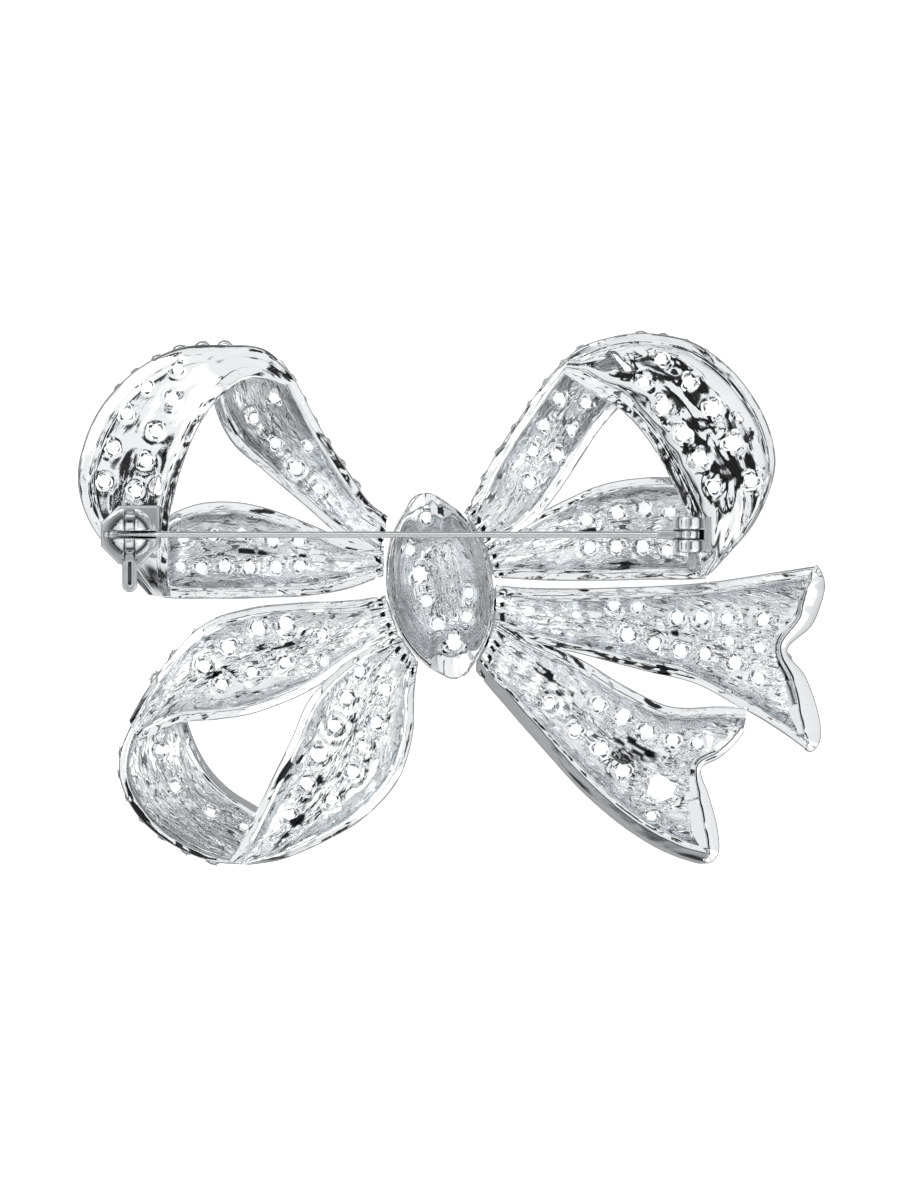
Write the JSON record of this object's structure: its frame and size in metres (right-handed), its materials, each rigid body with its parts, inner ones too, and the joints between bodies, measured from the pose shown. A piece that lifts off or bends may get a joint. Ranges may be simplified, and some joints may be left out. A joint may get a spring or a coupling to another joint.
{
  "type": "bow brooch",
  "caption": "Ribbon bow brooch lying face down: hollow cast loops and tails pierced and set with clear stones, a hinged pin stem, and a ball catch with a turning lever.",
  "frame": {"origin": "centre of the bow's outline, on the surface that its front rests on", "axes": "+X along the width, from the catch to the hinge; +Y along the height, towards the upper loops; +Z from the stones on the front to the pin on the back"},
  "size_m": [0.0703, 0.0506, 0.0131],
  "materials": {
    "plated_metal": "bright plating over cast white metal",
    "clear_stone": "clear faceted glass"
  },
  "bodies": {
    "bow": {"upper_left_loop": "plated_metal", "upper_right_loop": "plated_metal", "lower_left_loop": "plated_metal", "tails": "plated_metal", "knot": "plated_metal", "stones_upper_left": "clear_stone", "stones_upper_right": "clear_stone", "stones_lower_left": "clear_stone", "stones_tails": "clear_stone", "stones_knot": "clear_stone", "catch_housing": "plated_metal", "pin_bracket": "plated_metal", "hinge_rivet": "plated_metal"},
    "pin": {"pin_stem": "plated_metal"},
    "lever": {"catch_lever": "plated_metal"}
  },
  "joints": [
    {"name": "pin_hinge", "type": "hinge", "parent": "bow", "child": "pin", "pos_m": [0.02236, 0.00611, 0.01064], "axis": [0, 1, 0], "range_deg": [0, 90]},
    {"name": "catch_turn", "type": "hinge", "parent": "bow", "child": "lever", "pos_m": [-0.02997, 0.00611, 0.01064], "axis": [1, 0, 0], "range_deg": [-150, 0]}
  ]
}
